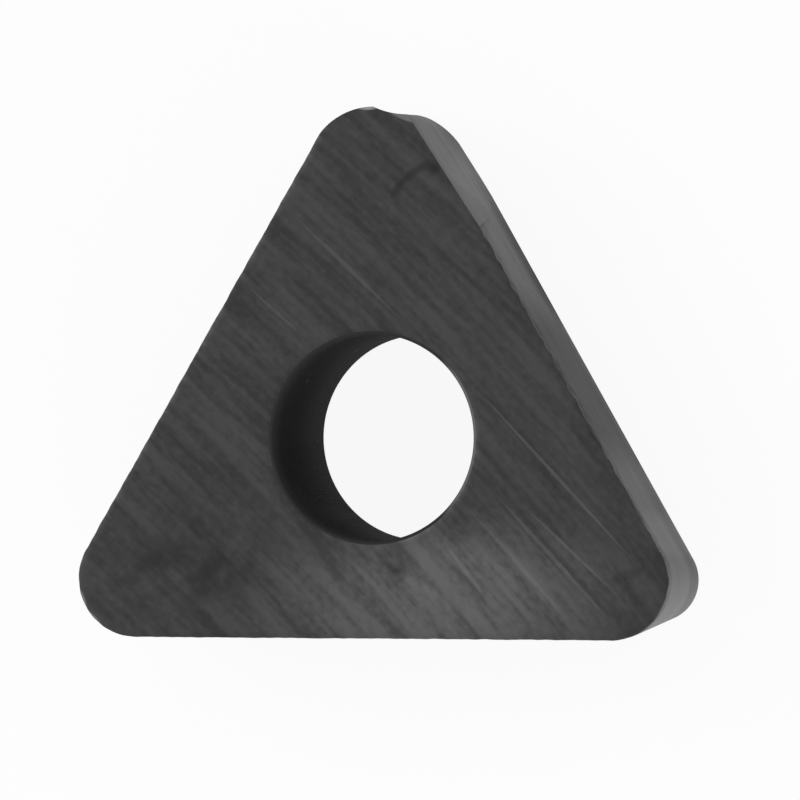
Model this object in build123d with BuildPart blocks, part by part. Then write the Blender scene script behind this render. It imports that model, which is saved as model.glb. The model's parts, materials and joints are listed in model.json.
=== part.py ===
"""Triangular carbide insert with a plain ground top, relieved flanks and a through hole.

It is one pressed, sintered and ground piece. It lies on its seat, the smaller of
its two faces, in millimetres, with +Z up. The origin is the middle of the hole on
the seat, and +Y runs to the worn nose.
"""

import os
from math import cos, radians, sin

from build123d import *

# Driving dimensions
INSCRIBED_CIRCLE = 9.525  # the circle that touches the three cutting edges
THICKNESS = 4.76
NOSE_RADIUS = 1.4
CLEARANCE_ANGLE = 5.0  # degrees that each flank leans in towards the seat
HOLE_DIAMETER = 4.9

# Edge finish
EDGE_HONE = 0.05  # radius on the cutting edges
SEAT_EDGE_BREAK = 0.10  # chamfer round the seat
HOLE_RIM_BREAK = 0.08  # chamfer on both rims of the hole

# Wear and a chip on the nose at +Y
WEAR_DEPTH = 0.29  # how far the tip has gone back at the cutting edge
WEAR_RADIUS = 1.7  # the worn tip is a little flatter than a new nose
WEAR_LEAN = 2.5  # degrees that the worn land leans in, less than the flank does
CHIP_RADIUS = 1.85
CHIP_DEPTH = 0.085  # deepest bite into the worn land
CHIP_TURN = 13.5  # degrees from +Y towards +X, seen from the worn curve's centre
CHIP_SLANT = 15.0  # degrees from upright, as the chip runs down towards -X

# Derived places
INRADIUS = INSCRIBED_CIRCLE / 2
NOSE_CENTRE = 2 * (INRADIUS - NOSE_RADIUS)  # from the hole's axis to a nose's own axis
WORN_TIP = NOSE_CENTRE + NOSE_RADIUS - WEAR_DEPTH
WORN_CENTRE = WORN_TIP - WEAR_RADIUS
CHIP_REACH = WEAR_RADIUS + CHIP_RADIUS - CHIP_DEPTH  # between the two curves' centres
CUTTER = 4 * NOSE_RADIUS  # wide enough to clear the nose on both sides

# The worn land: all that lies outside a flatter nose, whose side leans in a little. It
# starts where the worn curve runs level with the flanks, 30 degrees round from +X.
worn_nose = Location((0, WORN_CENTRE, THICKNESS), (-WEAR_LEAN, 0, 0))
with BuildPart() as worn_away:
    with BuildSketch(Plane(worn_nose)):
        with Locations((0, WEAR_RADIUS * sin(radians(30)))):
            Rectangle(CUTTER, CUTTER, align=(Align.CENTER, Align.MIN))
        Circle(WEAR_RADIUS, mode=Mode.SUBTRACT)
    extrude(amount=CUTTER, both=True)

# The chip: a hollow that is deepest at the cutting edge. It runs down upright while
# the land leans away from it, so it runs out by itself.
chip_x = CHIP_REACH * sin(radians(CHIP_TURN))
chip_y = WORN_CENTRE + CHIP_REACH * cos(radians(CHIP_TURN))
with BuildPart() as chip:
    with Locations(Location((chip_x, chip_y, THICKNESS), (0, CHIP_SLANT, 0))):
        Cylinder(CHIP_RADIUS, 4 * THICKNESS)

with BuildPart() as insert:
    # Rounded triangle of the cutting edges, pulled down with a taper so that
    # the flanks get their clearance and the noses come out as cones
    with BuildSketch(Plane.XY.offset(THICKNESS)) as cutting_outline:
        RegularPolygon(INRADIUS, 3, major_radius=False, rotation=90)
        fillet(cutting_outline.vertices(), NOSE_RADIUS)
    extrude(amount=-THICKNESS, taper=CLEARANCE_ANGLE)

    # Edges as they are new: a fine hone on top, a small chamfer round the seat
    fillet(insert.faces().sort_by(Axis.Z)[-1].edges(), EDGE_HONE)
    chamfer(insert.faces().sort_by(Axis.Z)[0].edges(), SEAT_EDGE_BREAK)

    # Hole for the clamping screw, plain right through
    with Locations((0, 0, THICKNESS)):
        Hole(HOLE_DIAMETER / 2)
    chamfer(insert.edges(Select.LAST).filter_by(GeomType.CIRCLE), HOLE_RIM_BREAK)

    # What use has taken off the nose at +Y
    add(worn_away.part, mode=Mode.SUBTRACT)
    add(chip.part, mode=Mode.SUBTRACT)

insert.part.label = "insert"
print("volume", round(insert.part.volume, 2), "mm3")
os.makedirs("parts", exist_ok=True)
export_step(insert.part, "parts/insert.step")
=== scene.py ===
# %% [markdown]
# # A triangular carbide insert, modelled and finished in Blender
#
# An indexable insert is a small block of cemented carbide that a screw holds in a
# cutting tool. It is one piece: pressed from powder, sintered, then ground on top and
# round the sides. This one has seen use, so one nose is worn back and chipped.
#
# The frame holds the true size of the part. Everything below is worked out from it and
# from a few sizes that a toolmaker would read off a drawing.

import json
from math import atan2, cos, degrees, hypot, radians, sin, tan

import bpy
from mathutils import Euler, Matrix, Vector

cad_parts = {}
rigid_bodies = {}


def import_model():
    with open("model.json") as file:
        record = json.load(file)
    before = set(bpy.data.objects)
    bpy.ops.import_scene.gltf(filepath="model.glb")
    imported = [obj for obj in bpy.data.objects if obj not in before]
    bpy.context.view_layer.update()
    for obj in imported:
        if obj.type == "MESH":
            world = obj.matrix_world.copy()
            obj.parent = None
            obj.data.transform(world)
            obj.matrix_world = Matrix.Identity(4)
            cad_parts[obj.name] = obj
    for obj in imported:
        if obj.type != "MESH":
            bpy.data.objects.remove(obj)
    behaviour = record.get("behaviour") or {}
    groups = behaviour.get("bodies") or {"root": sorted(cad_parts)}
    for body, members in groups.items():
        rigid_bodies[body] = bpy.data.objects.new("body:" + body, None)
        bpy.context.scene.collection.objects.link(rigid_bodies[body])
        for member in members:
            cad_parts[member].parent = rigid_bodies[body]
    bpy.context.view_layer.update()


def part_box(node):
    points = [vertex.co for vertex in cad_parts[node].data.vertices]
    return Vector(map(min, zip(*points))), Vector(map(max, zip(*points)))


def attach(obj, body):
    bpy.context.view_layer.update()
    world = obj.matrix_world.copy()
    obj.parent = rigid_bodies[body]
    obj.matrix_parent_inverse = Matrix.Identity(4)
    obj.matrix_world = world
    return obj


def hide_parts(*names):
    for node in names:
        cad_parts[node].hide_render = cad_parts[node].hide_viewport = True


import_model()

MM = 0.001  # Blender works in metres, a drawing in millimetres
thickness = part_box("insert")[1].z

# %% [markdown]
# ## The drawing
#
# Three sizes set the outline: the circle that fits inside it, the nose radius and the
# clearance angle. The clearance leans every side in towards the seat, so that only the
# top edge touches the work. Under a nose the side becomes part of a cone, so the nose
# radius shrinks on the way down, and by the same amount as the flat sides move in.

# %% Sizes from the drawing
INRADIUS = 9.525 / 2 * MM
NOSE_RADIUS = 1.4 * MM
CLEARANCE = radians(5.0)
HOLE_RADIUS = 4.9 / 2 * MM
HONE = 0.05 * MM  # rounding of the cutting edge
SEAT_BREAK = 0.10 * MM
RIM_BREAK = 0.08 * MM

seat_nose_radius = NOSE_RADIUS - thickness * tan(CLEARANCE)
nose_centre = 2 * (INRADIUS - NOSE_RADIUS)  # from the axis of the hole
print("seat nose radius", round(seat_nose_radius / MM, 3), "mm")

# %% [markdown]
# ## Working in edit mode
#
# An edit-mode operator acts on whatever is selected. So each step below opens a piece,
# selects some of its vertices, edges or faces by their place, and calls one operator.
# Three helpers do the opening and the selecting.

# %% Helpers for edit mode
def deselect_everything():
    """Object mode with nothing selected: operators act on all that is selected."""
    if bpy.context.mode != "OBJECT":
        bpy.ops.object.mode_set(mode="OBJECT")
    bpy.ops.object.select_all(action="DESELECT")


def edit(piece, select_mode):
    """Opens one piece in edit mode with nothing selected in it."""
    deselect_everything()
    piece.select_set(True)
    bpy.context.view_layer.objects.active = piece
    bpy.ops.object.mode_set(mode="EDIT")
    bpy.ops.mesh.select_mode(type=select_mode)
    bpy.ops.mesh.select_all(action="DESELECT")


def pick(piece, kind, wanted):
    """Selects only the vertices, edges or polygons that wanted() says, and counts them."""
    bpy.ops.mesh.select_all(action="DESELECT")
    bpy.ops.object.mode_set(mode="OBJECT")
    mesh = piece.data
    chosen = 0
    for element in getattr(mesh, kind):
        element.select = bool(wanted(mesh, element))
        chosen += element.select
    bpy.ops.object.mode_set(mode="EDIT")
    return chosen


deselect_everything()
print("starting in", bpy.context.mode.lower(), "mode with nothing selected")

# %% [markdown]
# ## The rounded triangle
#
# A rounded triangle is a circle pulled apart in three directions. So the body starts as
# an open cone whose two rings have the nose radius at the top and at the seat. Each
# third of it moves out to its own corner, and the faces that stretch between the
# thirds become the three flat flanks. No corner has to be measured or trimmed, and the
# clearance is right all the way round because the cone already has it.

# %% Pull a cone apart into three noses
NOSE_STEPS = 33  # odd, so that one column of vertices sits on the tip of each nose

deselect_everything()
bpy.ops.mesh.primitive_cone_add(
    vertices=3 * NOSE_STEPS, radius1=seat_nose_radius, radius2=NOSE_RADIUS,
    depth=thickness, end_fill_type="NOTHING", location=(0, 0, thickness / 2))
insert = bpy.context.object
insert.name = "insert_body"
bpy.ops.object.transform_apply(location=True, rotation=True, scale=True)

nose_directions = [radians(90 + 120 * corner) for corner in range(3)]
thirds = [
    [v.index for v in insert.data.vertices
     if cos(atan2(v.co.y, v.co.x) - direction) > cos(radians(60))]
    for direction in nose_directions]
edit(insert, "VERT")
for direction, members in zip(nose_directions, thirds):
    picked = pick(insert, "vertices", lambda mesh, v: v.index in members)
    bpy.ops.transform.translate(value=(nose_centre * cos(direction), nose_centre * sin(direction), 0))
    print("nose at", round(degrees(direction)), "degrees:", picked, "vertices moved")

# %% [markdown]
# Each flank is still one long face. It is cut across, about as finely as the noses, so
# that the cutting edge can later be chipped. Cuts along the flank sit close together
# under the cutting edge, where the chips are, and far apart below.

# %% Cut the flanks
EDGE_STEP = 0.06 * MM
ROW_DEPTHS = (0.08, 0.14, 0.22, 0.32, 0.45, 0.65, 1.0, 1.6, 2.4, 3.3, 4.1)  # mm below the edge
SAME_PLACE = 0.001 * MM  # two places closer than this are one

flank_length = 2 * 3**0.5 * (INRADIUS - NOSE_RADIUS)
half_cuts = round(flank_length / 2 / EDGE_STEP) - 1


def ends(mesh, edge):
    """The two ends of an edge."""
    return [mesh.vertices[v].co for v in edge.vertices]


def along_flank(mesh, edge):
    """Chooses the level edges that are as long as a flank, or half as long."""
    a, b = ends(mesh, edge)
    return abs(a.z - b.z) < SAME_PLACE and (a - b).length > flank_length / 3


edit(insert, "EDGE")
for cuts in (1, half_cuts):  # in halves first, because one call makes at most 100 cuts
    long_edges = pick(insert, "edges", along_flank)
    bpy.ops.mesh.subdivide(number_cuts=cuts)
    print(long_edges, "edges cut", cuts, "times each")
for depth in ROW_DEPTHS:
    bpy.ops.mesh.select_all(action="SELECT")
    bpy.ops.mesh.bisect(plane_co=(0, 0, thickness - depth * MM), plane_no=(0, 0, 1))

# %% [markdown]
# ## Nibbled cutting edges
#
# Grinding a brittle carbide leaves a cutting edge that looks nibbled under a glass: one
# shallow round bite beside the next. The Displace modifier can press such bites in. Its
# Voronoi texture is deepest in the middle of each cell, and a vertex group keeps it to
# the last half millimetre below the cutting edge. The group also says how much of it
# each side gets: most on the side that has done the cutting. The body has no top yet,
# so its top ring can only move level, and scaling that ring flat afterwards keeps the
# face true. The bites go inwards. A few of the ridges between them stand out by up to
# about 0.01 mm, which is too little to change the size of the insert.

# %% Press the bites into the edge
BITE_SPACING = 0.28 * MM
BITE_STRENGTH = 0.12 * MM  # no bite gets deeper than UNMOVED times this
BITE_REACH = 0.45 * MM  # how far down the flank a bite fades out
WORKED_SIDE = radians(30)  # the side that has done the cutting, seen from the hole
LEAST_SHARE = 0.2  # of the bites, on the other two sides
UNMOVED = 0.75  # value of the texture that leaves the surface where it is
TOP_RING = 0.02 * MM  # the top ring moves up or down by less than this


def finish_modifiers(piece):
    """Applies every modifier, in order."""
    deselect_everything()
    piece.select_set(True)
    bpy.context.view_layer.objects.active = piece
    for modifier in list(piece.modifiers):
        bpy.ops.object.modifier_apply(modifier=modifier.name)


deselect_everything()
bites = bpy.data.textures.new("edge_bites", "VORONOI")
bites.noise_scale = BITE_SPACING
bites.distance_metric = "DISTANCE"
group = insert.vertex_groups.new(name="cutting_edge")
for vertex in insert.data.vertices:
    below = (thickness - vertex.co.z) / BITE_REACH
    if below < 1:
        outwards = vertex.co.x * cos(WORKED_SIDE) + vertex.co.y * sin(WORKED_SIDE)
        share = (outwards - INRADIUS + NOSE_RADIUS) / NOSE_RADIUS
        group.add([vertex.index], (1 - below) * max(share, LEAST_SHARE), "REPLACE")
press = insert.modifiers.new("bites", "DISPLACE")
press.texture = bites
press.texture_coords = "LOCAL"
press.vertex_group = group.name
press.mid_level = UNMOVED
press.strength = BITE_STRENGTH
finish_modifiers(insert)
insert.vertex_groups.clear()

edit(insert, "VERT")
ring = pick(insert, "vertices", lambda mesh, v: v.co.z > thickness - TOP_RING)
bpy.ops.transform.resize(value=(1, 1, 0), center_override=(0, 0, thickness))
print("cutting edge:", ring, "vertices, nibbled and flat")

# %% [markdown]
# ## The hole
#
# The hole was pressed into the powder with a round pin, so it is a plain cylinder. An
# open cylinder stands in the middle, with one vertex for each vertex of the outline, and
# is turned inside out, because the wall of a hole faces its axis. The two faces of the
# insert are then made by bridging its rings to the rings of the body. A bridge follows
# the faces on both sides of it: with the wall facing outwards it would come out twisted.

# %% Add the hole and close the two faces
outline_steps = 3 * NOSE_STEPS + 6 * half_cuts + 3


def at_height(z):
    """Chooses edges that lie flat at this height."""
    return lambda mesh, edge: all(abs(point.z - z) < SAME_PLACE for point in ends(mesh, edge))


deselect_everything()
bpy.ops.mesh.primitive_cylinder_add(
    vertices=outline_steps, radius=HOLE_RADIUS, depth=thickness,
    end_fill_type="NOTHING", location=(0, 0, thickness / 2))
hole = bpy.context.object
bpy.ops.object.transform_apply(location=True, rotation=True, scale=True)
edit(hole, "FACE")
bpy.ops.mesh.select_all(action="SELECT")
bpy.ops.mesh.flip_normals()
bpy.ops.object.mode_set(mode="OBJECT")
insert.select_set(True)
bpy.context.view_layer.objects.active = insert
bpy.ops.object.join()

edit(insert, "EDGE")
for height in (thickness, 0):
    ring = pick(insert, "edges", at_height(height))
    bpy.ops.mesh.bridge_edge_loops()
    print("bridged", ring, "edges at", round(height / MM, 2), "mm")
bpy.ops.mesh.select_all(action="SELECT")
bpy.ops.mesh.normals_make_consistent(inside=False)

# %% [markdown]
# ## Edges as they were made
#
# No edge of a real insert is perfectly sharp. The cutting edge has a fine hone, and the
# seat and the hole have small chamfers. Three bevels make them. Each is told its edges
# by their place: the height, and whether they lie on the outline or on the hole.

# %% Bevel the edges
BY_THE_HOLE = HOLE_RADIUS + 0.01 * MM


def on_hole(point):
    return hypot(point.x, point.y) < BY_THE_HOLE


def rim_edges(height, hole_side):
    """Chooses the edges of one rim: at this height, on the hole or on the outline."""
    flat = at_height(height)

    def wanted(mesh, edge):
        a, b = ends(mesh, edge)
        inner = on_hole(a) and on_hole(b)
        outer = not on_hole(a) and not on_hole(b) and (a - b).length < 2 * EDGE_STEP
        return flat(mesh, edge) and (inner if hole_side else outer)
    return wanted


edit(insert, "EDGE")
for height, hole_side, width, segments in (
        (thickness, False, HONE, 3), (0, False, SEAT_BREAK, 2),
        (thickness, True, RIM_BREAK, 2), (0, True, RIM_BREAK, 2)):
    count = pick(insert, "edges", rim_edges(height, hole_side))
    bpy.ops.mesh.bevel(offset=width, segments=segments, profile=0.5, affect="EDGES")
    print("bevelled", count, "edges by", round(width / MM, 2), "mm")

# %% [markdown]
# The two flat faces are still rings of long quads that run from the outline to the hole.
# A narrow inset strip along their borders keeps what happens at an edge from spreading
# across the whole face.

# %% Inset a strip along the borders
STRIP = 0.12 * MM


def lies_flat(mesh, face):
    """Chooses the faces on top and on the seat."""
    return abs(face.normal.z) > 0.999


edit(insert, "FACE")
flat_faces = pick(insert, "polygons", lies_flat)
bpy.ops.mesh.inset(thickness=STRIP, depth=0, use_boundary=True)
deselect_everything()
print(flat_faces, "flat faces inset; the insert has", len(insert.data.polygons), "faces")

# %% [markdown]
# ## Wear and the chip
#
# Use has worn the nose at +Y to a flatter curve with a steeper side. A bite has broken
# out of it, the side next to it is rubbed to a narrow flat, and the corner between them
# is rubbed round towards the seat. All four are cuts, so they are made with Boolean
# tools. The cuts come after the bevels, because a worn edge has lost its hone.
#
# The wear is cut by a block with a hollow side: a cylinder is first taken out of the
# block, and what the block then takes off the insert is all that lies outside the
# cylinder. The cylinder leans, and so does the worn side.

# %% A tool that wears a corner round
TOOL_STEPS = 240  # sides of a cylinder
TOOL_LENGTH = 6 * thickness
BLOCK_SIZE = 4 * thickness


def cut_away(piece, tool):
    """Subtracts a closed tool from a piece and throws the tool away."""
    cut = piece.modifiers.new("cut", "BOOLEAN")
    cut.operation = "DIFFERENCE"
    cut.object = tool
    finish_modifiers(piece)
    bpy.data.objects.remove(tool)


def new_block(start, reach, turn, lean):
    """A leaning cube that begins this far from a place, on the side it is turned to."""
    rotation = Euler((0, lean, turn))
    to_middle = rotation.to_matrix() @ Vector((reach + BLOCK_SIZE / 2, 0, 0))
    bpy.ops.mesh.primitive_cube_add(size=BLOCK_SIZE, location=start + to_middle, rotation=rotation)
    bpy.ops.object.transform_apply(location=True, rotation=True, scale=True)
    return bpy.context.object


def wear_to_curve(piece, centre, radius, turn, half_arc, lean):
    """Takes off what lies outside an arc of a leaning cylinder, on the side it is turned to."""
    deselect_everything()
    top_centre = Vector((*centre, thickness))
    bpy.ops.mesh.primitive_cylinder_add(
        vertices=TOOL_STEPS, radius=radius, depth=TOOL_LENGTH,
        location=top_centre, rotation=(0, lean, turn))
    kept = bpy.context.object
    bpy.ops.object.transform_apply(location=True, rotation=True, scale=True)
    block = new_block(top_centre, radius * cos(half_arc), turn, lean)
    cut_away(block, kept)
    cut_away(piece, block)


print("tools with", TOOL_STEPS, "sides, blocks of", round(BLOCK_SIZE / MM, 1), "mm")

# %% Wear the nose
WEAR_DEPTH = 0.29 * MM
WEAR_RADIUS = 1.7 * MM
WEAR_HALF_ARC = radians(60)
WEAR_LEAN = radians(2.5)  # less than the flank's own clearance

worn_centre = nose_centre + NOSE_RADIUS - WEAR_DEPTH - WEAR_RADIUS
wear_to_curve(insert, (0, worn_centre), WEAR_RADIUS, radians(90), WEAR_HALF_ARC, WEAR_LEAN)
print("worn nose ends at y", round((worn_centre + WEAR_RADIUS) / MM, 2), "mm")

# %% [markdown]
# The chip is the mark of a cylinder that just touches the worn curve from outside. It is
# slanted sideways, as the real break is, and it stands upright while the worn side leans
# away below it, so it runs out by itself.

# %% Chip the nose
CHIP_RADIUS = 1.85 * MM
CHIP_DEPTH = 0.085 * MM
CHIP_TURN = radians(13.5)  # from the tip towards +X, seen from the middle of the worn curve
CHIP_SLANT = radians(15)  # sideways, as the chip runs down

chip_reach = WEAR_RADIUS + CHIP_RADIUS - CHIP_DEPTH
chip_x = chip_reach * sin(CHIP_TURN)
chip_y = worn_centre + chip_reach * cos(CHIP_TURN)
deselect_everything()
bpy.ops.mesh.primitive_cylinder_add(
    vertices=TOOL_STEPS, radius=CHIP_RADIUS, depth=BLOCK_SIZE,
    location=(chip_x, chip_y, thickness), rotation=(0, CHIP_SLANT, 0))
chip_tool = bpy.context.object
bpy.ops.object.transform_apply(location=True, rotation=True, scale=True)
cut_away(insert, chip_tool)
print("chip", round(CHIP_DEPTH / MM, 3), "mm deep")

# %% [markdown]
# The flat is cut by a plain block. It leans a little less than the flank, so it is
# deepest at the top. The rubbed corner is one more hollow block. It leans the most, so
# it bites only low down and leaves the cutting edge alone.

# %% Rub the flat and the corner beside it
FLAT_TURN = radians(33.5)  # where the rubbed flat faces, a little nearer the nose than the flank
FLAT_REACH = 4.91 * MM  # from the axis of the hole to the top of the rubbed flat
FLAT_LEAN = radians(3.8)
CORNER_CENTRE = (-0.53 * MM, 6.20 * MM)  # middle of the rubbed corner's curve, at the top
CORNER_RADIUS = 2.0 * MM
CORNER_TURN = radians(61.7)
CORNER_HALF_ARC = radians(29)
CORNER_LEAN = radians(5.3)

deselect_everything()
flat_top = Vector((FLAT_REACH * cos(FLAT_TURN), FLAT_REACH * sin(FLAT_TURN), thickness))
cut_away(insert, new_block(flat_top, 0, FLAT_TURN, FLAT_LEAN))
wear_to_curve(insert, CORNER_CENTRE, CORNER_RADIUS, CORNER_TURN, CORNER_HALF_ARC, CORNER_LEAN)
print("after wear:", len(insert.data.polygons), "faces")

# %% [markdown]
# ## Materials
#
# Cemented carbide is tungsten carbide grains in cobalt. It is a dark grey metal to the
# eye, and how it was finished makes all the difference: a ground face has fine parallel
# lines, a ground flank looks brighter because it is seen at a flat angle, and the hole
# keeps the dull skin of the sintering furnace. So there is one material for each finish.
# All of them work in object coordinates turned into millimetres, so that a pattern can
# be given its real size.
#
# Colours are written as on a colour card, in sRGB hex, and turned to linear light by one
# function. Another small function adds a node with its settings and its links.

# %% Helpers for materials
def hex_colour(code):
    """An sRGB hex code as linear red, green, blue and alpha."""
    channels = [int(code[i:i + 2], 16) / 255 for i in (1, 3, 5)]
    linear = [c / 12.92 if c <= 0.04045 else ((c + 0.055) / 1.055) ** 2.4 for c in channels]
    return (*linear, 1.0)


def add_node(tree, kind, *values, inputs=None, output=0, **settings):
    """Adds a node, and returns its first output unless another is named.

    The values go to its inputs in order, and inputs names others. A value that is another
    node's output is linked, and any other value is set on the socket.
    """
    node = tree.nodes.new("ShaderNode" + kind)
    for name, value in settings.items():
        setattr(node, name, value)
    for socket, value in {**dict(enumerate(values)), **(inputs or {})}.items():
        if isinstance(value, bpy.types.NodeSocket):
            tree.links.new(value, node.inputs[socket])
        else:
            node.inputs[socket].default_value = value
    return node.outputs[output] if node.outputs else None


def new_material(name):
    """An empty material, with its node tree and its position on the piece in millimetres."""
    material = bpy.data.materials.new(name)
    material.use_nodes = True
    tree = material.node_tree
    tree.nodes.clear()
    place = add_node(tree, "TexCoord", output="Object")
    in_mm = add_node(tree, "VectorMath", place, inputs={"Scale": 1 / MM}, operation="SCALE")
    return material, tree, in_mm


# A Mix node set to colour has its two colours at inputs 6 and 7, and its result at output 2.
# A Map Range node's inputs are the value, the range it comes from and the range it goes to.
COLOUR_A, COLOUR_B, MIXED = 6, 7, 2
print("dark grey #323232 is", round(hex_colour("#323232")[0], 4), "in linear light")

# %% [markdown]
# ### Lines left by a grinding wheel
#
# Grinding lines are noise that is stretched hard in one direction. Three layers of it,
# from broad bands to fine lines, give the uneven look of real grit, and a fourth layer
# that is hardly stretched breaks the lines up. The real finest lines are about 0.01 mm
# apart, too fine to show at this size, so they are drawn about fifteen times as coarse.

# %% Stretched noise
GRIND_LAYERS = (  # line width mm, line length mm, share
    (0.90, 8.0, 0.24),
    (0.34, 3.2, 0.34),
    (0.15, 1.3, 0.22),
    (0.16, 0.22, 0.20))


def grinding_lines(tree, along_and_across, seed):
    """Values from 0 to 1 that follow the lines. The input's X runs along them, in mm."""
    total = 0.0
    for layer, (width, length, share) in enumerate(GRIND_LAYERS):
        stretched = add_node(
            tree, "Mapping", along_and_across,
            inputs={"Location": (seed + 7.3 * layer, seed, 0), "Scale": (1 / length, 1 / width, 1)})
        noise = add_node(
            tree, "TexNoise", stretched, inputs={"Scale": 1.0, "Detail": 1.0}, noise_dimensions="2D")
        total = add_node(tree, "Math", noise, share, total, operation="MULTIPLY_ADD")
    return add_node(tree, "MapRange", total, 0.38, 0.62)


print(len(GRIND_LAYERS), "layers of lines, the finest", min(layer[0] for layer in GRIND_LAYERS), "mm wide")

# %% [markdown]
# ### Scratches and stains
#
# A scratch is a very long and thin ellipse that fades towards its ends. The spherical
# Gradient texture is 1 in the middle and 0 one unit away, and a Mapping node of the
# texture kind makes that unit as long and as wide as the scratch. A soft stain is the
# same thing, only round. Each keeps to its place on the drawing of the face, at any
# height.

# %% A soft ellipse between two points
def soft_ellipse(tree, place, start, end, width):
    """1 on the line from start to end and 0 half a width away, in mm, on any level."""
    middle = ((start[0] + end[0]) / 2, (start[1] + end[1]) / 2, 0)
    direction = atan2(end[1] - start[1], end[0] - start[0])
    half_length = hypot(end[0] - start[0], end[1] - start[1]) / 2
    local = add_node(
        tree, "Mapping", place, middle, (0, 0, direction), (half_length, width / 2, 1000),
        vector_type="TEXTURE")
    return add_node(tree, "TexGradient", local, output="Fac", gradient_type="SPHERICAL")


print("each stroke or stain starts from a Mapping and a Gradient node")

# %% [markdown]
# ### The ground faces
#
# The top and the seat were ground with the face of a cup wheel, so the lines are not
# straight but arcs about the wheel's axle, far off to one side. Distance from the axle
# runs across the lines, and the angle about it runs along them. Only the top carries
# marks: a few long scratches, lighter patches towards the bottom edge and some stains,
# and painted highlights on the worn tip, the rim of the worn land and the lower left nose.

# %% Marks of use and painted highlights on the top
STROKES_AND_HIGHLIGHTS = (  # tone, strength, softness, and then start, end and width of each stroke in mm
    ("#7a7a7a", 0.12, 0.5, (  # two old scratches on the left
        ((-2.2, 5.5), (0.9, 2.6), 0.12),
        ((-3.1, 3.6), (-1.6, 2.3), 0.10))),
    ("#7a7a7a", 0.18, 0.5, (  # newer scratches on the right
        ((2.5, 1.2), (6.5, -3.0), 0.10),
        ((2.9, -1.2), (6.0, -4.5), 0.13),
        ((2.3, -1.6), (5.0, -4.5), 0.13),
        ((3.6, -1.5), (6.0, -3.7), 0.10),
        ((1.1, -3.3), (2.2, -4.4), 0.30),
        ((1.7, -2.4), (2.9, -3.9), 0.13))),
    ("#8c8c8c", 0.36, 0.3, (  # painted highlight on the rounded rim of the worn land
        ((0.30, 7.79), (1.20, 7.46), 0.24),)),
    ("#8c8c8c", 0.90, 0.6, (((-0.42, 7.80), (0.14, 7.82), 0.14),)),  # painted highlight on the worn tip
    ("#8c8c8c", 0.45, 0.6, (  # painted highlight along the edge of the nose at the lower left
        ((-7.19, -3.60), (-6.98, -4.16), 0.10),
        ((-7.02, -4.10), (-6.60, -4.52), 0.10))),
    ("#202020", 0.30, 0.6, (((5.7, -3.4), (6.8, -3.0), 0.34),)),  # a faint mark on the right nose
    ("#202020", 0.50, 0.6, (  # a faint dark arc near the worn nose, ending in a stain
        ((1.80, 6.46), (0.95, 6.40), 0.36),
        ((1.25, 6.48), (0.62, 6.00), 0.30),
        ((0.80, 6.20), (0.40, 5.65), 0.24),
        ((1.35, 6.42), (1.62, 6.22), 0.34))))
# Patches that make the face lighter towards its bottom edge.
LIGHTER_PATCHES = (
    ((-3.2, -4.0), (6.6, -3.7), 4.6),
    ((-0.4, -3.4), (4.4, -3.6), 2.8))
STAINS = (
    ((-7.4, -3.7), (-2.4, -2.6), 3.0),
    ((-4.8, -3.9), (-2.2, -2.0), 1.6),
    ((0.1, -3.2), (1.0, -2.9), 1.3),
    ((1.8, -2.2), (2.5, -2.0), 0.9))


def marks_and_highlights(tree, place, lines, colour):
    """Lays the lighter patches, the stains, then the scratches and painted highlights over a colour, in
    that order.
    """
    clouds = add_node(tree, "TexNoise", place, inputs={"Scale": 1.8, "Detail": 3.0})
    broken = add_node(tree, "MapRange", clouds, 0.35, 0.65)
    lines_for_lighter_tone = add_node(tree, "MapRange", lines, 0.1, 0.9, 0.21, 0.55)
    patches = [(mark, 0.5, 1.0, lines_for_lighter_tone, "#606060") for mark in LIGHTER_PATCHES]
    stains = [(mark, 0.8, 0.8, broken, "#282828") for mark in STAINS]
    # The table's rows include painted highlights on the worn tip, the rim of the worn land and the edge of
    # the lower left nose.
    strokes_and_highlights = [
        (mark, softness, strength, 1.0, tone)
        for tone, strength, softness, group in STROKES_AND_HIGHLIGHTS for mark in group]
    for (start, end, width), softness, strength, share, tone in patches + stains + strokes_and_highlights:
        shape = add_node(
            tree, "MapRange", soft_ellipse(tree, place, start, end, width), 0.0, softness, 0.0, strength)
        factor = add_node(tree, "Math", shape, share, operation="MULTIPLY")
        colour = add_node(
            tree, "Mix", factor, inputs={COLOUR_A: colour, COLOUR_B: hex_colour(tone)},
            output=MIXED, data_type="RGBA")
    return colour


print(sum(len(group) for *_, group in STROKES_AND_HIGHLIGHTS), "strokes and", len(STAINS), "stains")

# %% Ground face
WHEEL_RADIUS = 75.0  # mm
WHEEL_SIDE = radians(225)  # where the axle lies, seen from the middle of the hole


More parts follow.
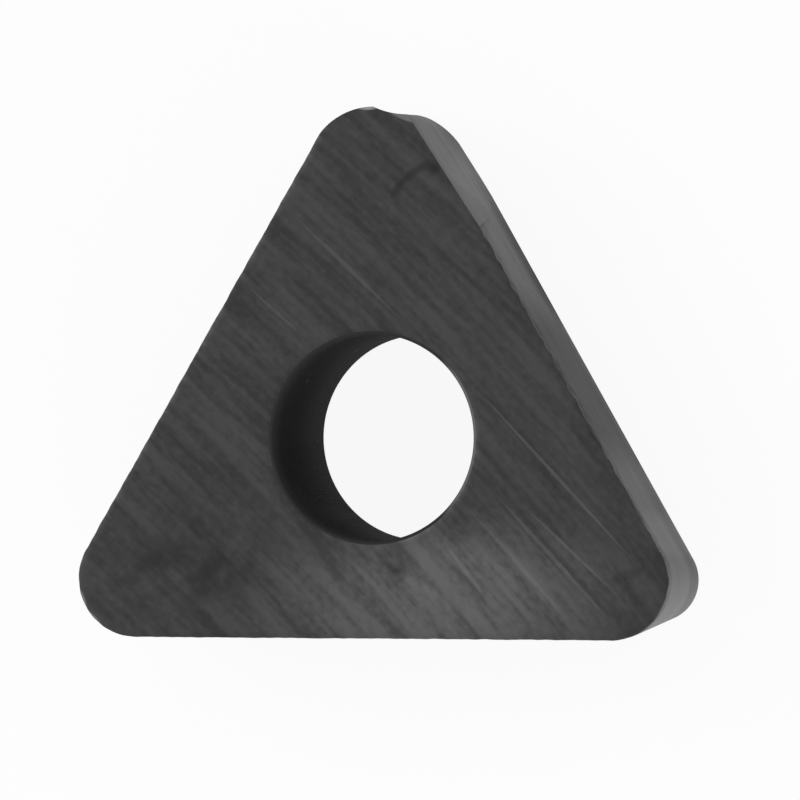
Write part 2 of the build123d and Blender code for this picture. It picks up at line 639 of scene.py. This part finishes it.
def ground_face(name, with_marks_and_highlights):
    """Cup-ground cemented carbide: dark grey, fine arcs, a soft sheen."""
    material, tree, place = new_material(name)
    axle = (WHEEL_RADIUS * cos(WHEEL_SIDE), WHEEL_RADIUS * sin(WHEEL_SIDE), 0)
    from_axle = add_node(tree, "VectorMath", place, axle, operation="SUBTRACT")
    parts = add_node(tree, "SeparateXYZ", from_axle).node.outputs
    angle = add_node(tree, "Math", parts["Y"], parts["X"], operation="ARCTAN2")
    along = add_node(tree, "Math", angle, WHEEL_RADIUS, operation="MULTIPLY")
    level = add_node(tree, "CombineXYZ", parts["X"], parts["Y"])
    across = add_node(tree, "VectorMath", level, output="Value", operation="LENGTH")
    lines = grinding_lines(tree, add_node(tree, "CombineXYZ", along, across), seed=3.0)
    colour = add_node(
        tree, "Mix", lines, inputs={COLOUR_A: hex_colour("#323232"), COLOUR_B: hex_colour("#414141")},
        output=MIXED, data_type="RGBA")
    if with_marks_and_highlights:
        colour = marks_and_highlights(tree, place, lines, colour)
    roughness = add_node(tree, "MapRange", lines, 0.0, 1.0, 0.50, 0.38)
    bump = add_node(tree, "Bump", inputs={"Height": lines, "Strength": 0.25, "Distance": 0.004 * MM})
    shader = add_node(
        tree, "BsdfPrincipled", colour,
        inputs={"Metallic": 0.9, "Roughness": roughness, "Normal": bump})
    add_node(tree, "OutputMaterial", shader)
    print(name, "has", len(tree.nodes), "nodes")
    return material


cutting_face = ground_face("carbide_ground_face", with_marks_and_highlights=True)
seat_face = ground_face("carbide_ground_seat", with_marks_and_highlights=False)

# %% [markdown]
# ### The ground flanks
#
# The flanks were ground along their length by the rim of a wheel, so their lines run
# level. It is the same metal as the face, and it looks lighter where it is seen at a flat
# angle, as every metal does; its base colour is also painted a little lighter than the
# face's. How light it looks there depends on how rough it is. Painted shade darkens and
# roughens it near the seat, along the top below the cutting edge and over the middle of one
# side, and painted highlights lighten and smooth the nose on the right, beside it and the
# worn land.

# %% Where the flank has painted shade and where painted highlights
SEAT_SHADE_HEIGHT = 1.7  # mm above the seat where the painted shade has faded out
EDGE_SHADE_DEPTH = 0.4  # mm below the cutting edge, painted darker and rougher
SEAT_SHADE_PATCH = ((4.0, 1.7), (1.1, 6.9), 2.6)  # start, end and width of the thickest painted shade near the seat, in mm
SIDE_SHADE = ((6.1, -1.1), (3.2, 3.9), 3.0)  # the middle of the side that has done the cutting, painted darker
FLANK_HIGHLIGHTS = (  # painted highlights: most on the nose on the right, less beside it and on the worn land
    (((3.7, -4.8), (8.9, -4.2), 4.0), 0.8),
    (((6.8, -3.2), (6.3, -1.5), 2.4), 0.25),
    (((0.2, 8.4), (3.0, 4.6), 2.2), 0.15))


def soft_patch(tree, place, mark, softness, strength):
    """A soft ellipse that also starts and ends gently, so that no border shows."""
    return add_node(
        tree, "MapRange", soft_ellipse(tree, place, *mark), 0.0, softness, 0.0, strength,
        interpolation_type="SMOOTHSTEP")


def dull_share(tree, place, height):
    """How much painted shade darkens the flank: near the seat, below the cutting edge and on one side."""
    # Painted shade near the seat, in clouds and thickest on one side, fading out upwards.
    clouds = add_node(tree, "TexNoise", place, inputs={"Scale": 0.35, "Detail": 2.0})
    thin_film = add_node(tree, "MapRange", clouds, 0.35, 0.60, 0.0, 0.5)
    thick_film = soft_patch(tree, place, SEAT_SHADE_PATCH, 0.8, 0.9)
    film = add_node(tree, "Math", thin_film, thick_film, operation="MAXIMUM")
    near_seat = add_node(tree, "MapRange", height, 0.0, SEAT_SHADE_HEIGHT, 1.0, 0.0)
    low_film = add_node(tree, "Math", near_seat, film, operation="MULTIPLY")
    # Painted shade along the top of the flank, just below the cutting edge.
    top = thickness / MM
    edge_shade = add_node(tree, "MapRange", height, top - EDGE_SHADE_DEPTH, top, 0.0, 0.3)
    low_or_high = add_node(tree, "Math", low_film, edge_shade, operation="MAXIMUM")
    # Painted shade over the middle of the side that has done the cutting.
    dull_side = soft_patch(tree, place, SIDE_SHADE, 0.6, 0.36)
    return add_node(tree, "Math", low_or_high, dull_side, operation="MAXIMUM")


def highlight_share(tree, place, lines):
    """How strongly painted highlights lighten the flank, a little more so between the lines."""
    painted_highlight = 0.0
    for mark, strength in FLANK_HIGHLIGHTS:
        patch = soft_patch(tree, place, mark, 0.7, strength)
        painted_highlight = add_node(tree, "Math", painted_highlight, patch, operation="MAXIMUM")
    lines_for_lighter_tone = add_node(tree, "MapRange", lines, 0.0, 1.0, 0.7, 1.0)
    return add_node(tree, "Math", painted_highlight, lines_for_lighter_tone, operation="MULTIPLY")


# Prints how high the painted shade near the seat reaches and how many painted highlights the flank has.
print("film up to", SEAT_SHADE_HEIGHT, "mm, and", len(FLANK_HIGHLIGHTS), "rubbed places")

# %% Ground flank
def ground_flank():
    """Rim-ground cemented carbide: level lines, with painted shade in places and painted highlights in
    others.
    """
    material, tree, place = new_material("carbide_ground_flank")
    parts = add_node(tree, "SeparateXYZ", place).node.outputs
    around = add_node(tree, "Math", parts["X"], parts["Y"], operation="SUBTRACT")
    lines = grinding_lines(tree, add_node(tree, "CombineXYZ", around, parts["Z"]), seed=11.0)
    dull = dull_share(tree, place, parts["Z"])
    flank_highlight = highlight_share(tree, place, lines)

    # Painted light: the flank's base is painted a little lighter than the face's, though both are the same
    # ground carbide.
    ground = add_node(
        tree, "Mix", lines, inputs={COLOUR_A: hex_colour("#3a3a3a"), COLOUR_B: hex_colour("#4c4c4c")},
        output=MIXED, data_type="RGBA")
    # Painted shade: the flank is darkened towards #262626 where the shade mask says.
    dulled = add_node(
        tree, "Mix", dull, inputs={COLOUR_A: ground, COLOUR_B: hex_colour("#262626")},
        output=MIXED, data_type="RGBA")
    # Painted highlight: the nose on the right, the side beside it and the worn land are lightened towards
    # #707070.
    colour = add_node(
        tree, "Mix", flank_highlight, inputs={COLOUR_A: dulled, COLOUR_B: hex_colour("#707070")},
        output=MIXED, data_type="RGBA")
    # The painted shade also raises the roughness, and the painted highlights lower it.
    dull_roughness = add_node(tree, "MapRange", dull, 0.0, 1.0, 0.555, 0.85)
    smoother_in_highlight = add_node(tree, "MapRange", flank_highlight, 0.0, 1.0, 0.0, 0.06)
    roughness = add_node(tree, "Math", dull_roughness, smoother_in_highlight, operation="SUBTRACT")
    bump = add_node(tree, "Bump", inputs={"Height": lines, "Strength": 0.2, "Distance": 0.003 * MM})
    shader = add_node(
        tree, "BsdfPrincipled", colour,
        inputs={"Metallic": 0.9, "Roughness": roughness, "Normal": bump})
    add_node(tree, "OutputMaterial", shader)
    print(material.name, "has", len(tree.nodes), "nodes")
    return material


flank = ground_flank()

# %% [markdown]
# ### The sintered hole
#
# No tool has touched the wall of the hole since the furnace. It keeps a dark grey, grainy
# skin, painted near black with the shade inside the hole and painted a little lighter near
# the top, where more light gets in. Its grain is a fine noise, and a few specks of lighter
# dust sit on it. A painted highlight lightens the upper rim on the +X side.

# %% Sintered hole
GRAIN = 0.06  # mm, coarser than the real skin so that it shows
SPECK_SPACING = 0.85  # mm
LIT_TOP_DEPTH = 0.7  # mm below the top, over which painted light makes the wall a little lighter
RIM_HIGHLIGHT = ((2.5, -2.6), (2.5, 2.6), 2.4)  # start, end, width in mm of the painted highlight on the rim


def sintered_wall():
    """As-sintered cemented carbide: dark grey, matt and grainy, painted near black with the shade inside
    the hole.
    """
    material, tree, place = new_material("carbide_sintered_skin_and_shade")
    grain = add_node(tree, "TexNoise", place, inputs={"Scale": 1 / GRAIN, "Detail": 3.0})
    # Painted shade: the dark grey of the sintered skin is painted near black for the shade inside the
    # hole.
    skin_and_shade = add_node(
        tree, "Mix", add_node(tree, "MapRange", grain, 0.35, 0.65),
        inputs={COLOUR_A: hex_colour("#181818"), COLOUR_B: hex_colour("#262626")},
        output=MIXED, data_type="RGBA")
    cells = add_node(tree, "TexVoronoi", place, inputs={"Scale": 1 / SPECK_SPACING})
    dusted = add_node(
        tree, "Mix", add_node(tree, "MapRange", cells, 0.05, 0.11, 0.9, 0.0),
        inputs={COLOUR_A: skin_and_shade, COLOUR_B: hex_colour("#5a5a5a")}, output=MIXED, data_type="RGBA")
    height = add_node(tree, "SeparateXYZ", place, output="Z")
    top = thickness / MM
    # Painted light: the wall is a little lighter near the top of the hole, where more light gets in.
    lit_near_top = add_node(
        tree, "Mix", add_node(tree, "MapRange", height, top - LIT_TOP_DEPTH, top),
        inputs={COLOUR_A: dusted, COLOUR_B: hex_colour("#2e2e2e")}, output=MIXED, data_type="RGBA")
    # Painted highlight on the upper rim at +X, where the chamfer faces the lamp on the left.
    on_rim = add_node(tree, "MapRange", height, top - RIM_BREAK / MM, top)
    painted_highlight = add_node(tree, "Math", on_rim, soft_ellipse(tree, place, *RIM_HIGHLIGHT), operation="MULTIPLY")
    colour = add_node(
        tree, "Mix", add_node(tree, "MapRange", painted_highlight, 0.0, 0.3),
        inputs={COLOUR_A: lit_near_top, COLOUR_B: hex_colour("#666666")}, output=MIXED, data_type="RGBA")
    bump = add_node(tree, "Bump", inputs={"Height": grain, "Strength": 0.5, "Distance": 0.010 * MM})
    shader = add_node(
        tree, "BsdfPrincipled", colour,
        inputs={"Metallic": 0.0, "Roughness": 0.9, "Specular IOR Level": 0.15, "Normal": bump})
    add_node(tree, "OutputMaterial", shader)
    print(material.name, "has", len(tree.nodes), "nodes")
    return material


hole_wall = sintered_wall()

# %% [markdown]
# ### Which faces get which finish
#
# The hole with its chamfers is found by its distance from the axis, and the two ground
# faces by their height. The top wheel also made the hone, so the hone belongs to the
# face. All the rest, with the noses, the bites and the worn land, is flank. Material
# slots are given out in edit mode, one after the other, so a later one overrules.

# %% Give the faces their finishes
def on_cutting_face(mesh, face):
    return face.center.z > thickness - HONE


def on_seat(mesh, face):
    return lies_flat(mesh, face) and face.center.z < HONE


def in_hole(mesh, face):
    from_axis = hypot(face.center.x, face.center.y)
    return from_axis < HOLE_RADIUS + 0.95 * RIM_BREAK and not lies_flat(mesh, face)


for material in (flank, cutting_face, seat_face, hole_wall):
    insert.data.materials.append(material)
edit(insert, "FACE")
for slot_index, wanted in ((1, on_cutting_face), (2, on_seat), (3, in_hole)):
    count = pick(insert, "polygons", wanted)
    insert.active_material_index = slot_index
    bpy.ops.object.material_slot_assign()
    print(count, "faces of", insert.data.materials[slot_index].name)

# %% [markdown]
# ### Shading
#
# The noses and the hole are rings of narrow faces. Shading them smooth hides the joints
# between the faces, but only where they turn by less than 28 degrees, so the cutting
# edge and the rims stay crisp.

# %% Shade flat faces flat and round faces round
SMOOTH_BELOW = radians(28)

deselect_everything()
insert.select_set(True)
bpy.context.view_layer.objects.active = insert
bpy.ops.object.shade_smooth_by_angle(angle=SMOOTH_BELOW)
insert.data.calc_loop_triangles()
print("insert body:", len(insert.data.loop_triangles), "triangles")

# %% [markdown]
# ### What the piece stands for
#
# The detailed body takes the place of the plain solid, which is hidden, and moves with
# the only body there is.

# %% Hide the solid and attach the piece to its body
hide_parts("insert")
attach(insert, "root")
print(insert.name, "stands for the solid of the frame")

# %% [markdown]
# ## Camera
#
# The camera looks almost straight down on the cutting face, tilted a little towards +X,
# so that the flank on that side shows as a light band. A long lens from far away keeps
# the flanks nearly parallel, as a close-up of a small part has them.

# %% Camera
CAMERA_TILT = radians(14.75)  # towards +X, away from straight above
CAMERA_ROLL = radians(-0.24)
CAMERA_DISTANCE = 400 * MM
PIXELS_PER_MM = 42.28  # at the cutting face, in a frame 800 pixels wide
FRAME_PIXELS = 800
SENSOR = 36.0
HOLE_CENTRE_PIXEL = (372.5, 437.8)  # where the middle of the hole on top lands in the frame

right = (FRAME_PIXELS / 2 - HOLE_CENTRE_PIXEL[0]) / PIXELS_PER_MM * MM
up = (HOLE_CENTRE_PIXEL[1] - FRAME_PIXELS / 2) / PIXELS_PER_MM * MM
turn = Euler((0, CAMERA_TILT, 0)).to_matrix() @ Euler((0, 0, -CAMERA_ROLL)).to_matrix()
camera_data = bpy.data.cameras.new("camera")
camera = bpy.data.objects.new("camera", camera_data)
bpy.context.scene.collection.objects.link(camera)
camera.location = Vector((0, 0, thickness)) + turn @ Vector((right, up, CAMERA_DISTANCE))
camera.rotation_euler = turn.to_euler()
camera_data.sensor_width = SENSOR
camera_data.lens = SENSOR * PIXELS_PER_MM * CAMERA_DISTANCE / MM / FRAME_PIXELS
camera_data.clip_start = 10 * MM
camera_data.clip_end = 5000 * MM
bpy.context.scene.camera = camera
print("camera at", [round(value / MM, 1) for value in camera.location], "mm")
print("lens of", round(camera_data.lens), "mm")

# %% [markdown]
# ## Floor and light
#
# The floor is plain and white. Part of its white comes from a glow that only the camera
# and reflections see, so the floor looks clean without more light on the insert, and
# the rest of it is a matt surface that takes the insert's soft shadow.

# %% Floor
def seen_directly(tree):
    """1 for rays from the camera, from a reflection or through glass, and 0 for the rest."""
    ray = add_node(tree, "LightPath").node.outputs
    seen = add_node(tree, "Math", ray["Is Camera Ray"], ray["Is Glossy Ray"], operation="MAXIMUM")
    return add_node(tree, "Math", seen, ray["Is Transmission Ray"], operation="MAXIMUM")


FLOOR_SIZE = 4.0  # metres, wide enough to have no edge in any view
FLOOR_GLOW = 0.92  # share of the floor's look that does not depend on the lamps
FLOOR_GAP = 0.02 * MM  # keeps the seat and the floor from lying in one plane

deselect_everything()
bpy.ops.mesh.primitive_plane_add(size=FLOOR_SIZE, location=(0, 0, -FLOOR_GAP))
floor = bpy.context.object
floor.name = "floor"
floor_material = bpy.data.materials.new("white_card")
floor_material.use_nodes = True
card = floor_material.node_tree
card.nodes.clear()
matt = add_node(card, "BsdfDiffuse", hex_colour("#f4f4f4"))
glow = add_node(card, "Emission", hex_colour("#ffffff"), 1.0)
glow_share = add_node(card, "Math", seen_directly(card), FLOOR_GLOW, operation="MULTIPLY")
add_node(card, "OutputMaterial", add_node(card, "MixShader", glow_share, matt, glow))
floor.data.materials.append(floor_material)
print("floor of", floor_material.name, round(floor.dimensions.x), "m wide")

# %% [markdown]
# The light is a white tent: the same from all sides, with one soft lamp high on the left
# and a second one low in front, which picks out the nose on the right. The camera and
# reflections see the tent as white, and matt surfaces get a little less light from it.

# %% Light
TENT_STRENGTH = 0.7
LAMPS = (  # name, place mm, size mm, watts
    ("key_softbox", (-200, 80, 220), 160, 0.22),
    ("low_softbox", (120, -220, 60), 160, 0.22))

world = bpy.data.worlds.new("studio")
bpy.context.scene.world = world
world.use_nodes = True
tent = world.node_tree
tent.nodes.clear()
strength = add_node(tent, "MapRange", seen_directly(tent), 0.0, 1.0, TENT_STRENGTH, 1.0)
add_node(tent, "OutputWorld", add_node(tent, "Background", hex_colour("#ffffff"), strength))

for name, place, size, watts in LAMPS:
    lamp_data = bpy.data.lights.new(name, "AREA")
    lamp_data.size = size * MM
    lamp_data.energy = watts
    lamp = bpy.data.objects.new(name, lamp_data)
    bpy.context.scene.collection.objects.link(lamp)
    lamp.location = [value * MM for value in place]
    lamp.rotation_euler = (-Vector(lamp.location)).to_track_quat("-Z", "Y").to_euler()
    print(name, "at", place, "mm")

bpy.context.scene.view_settings.view_transform = "Standard"
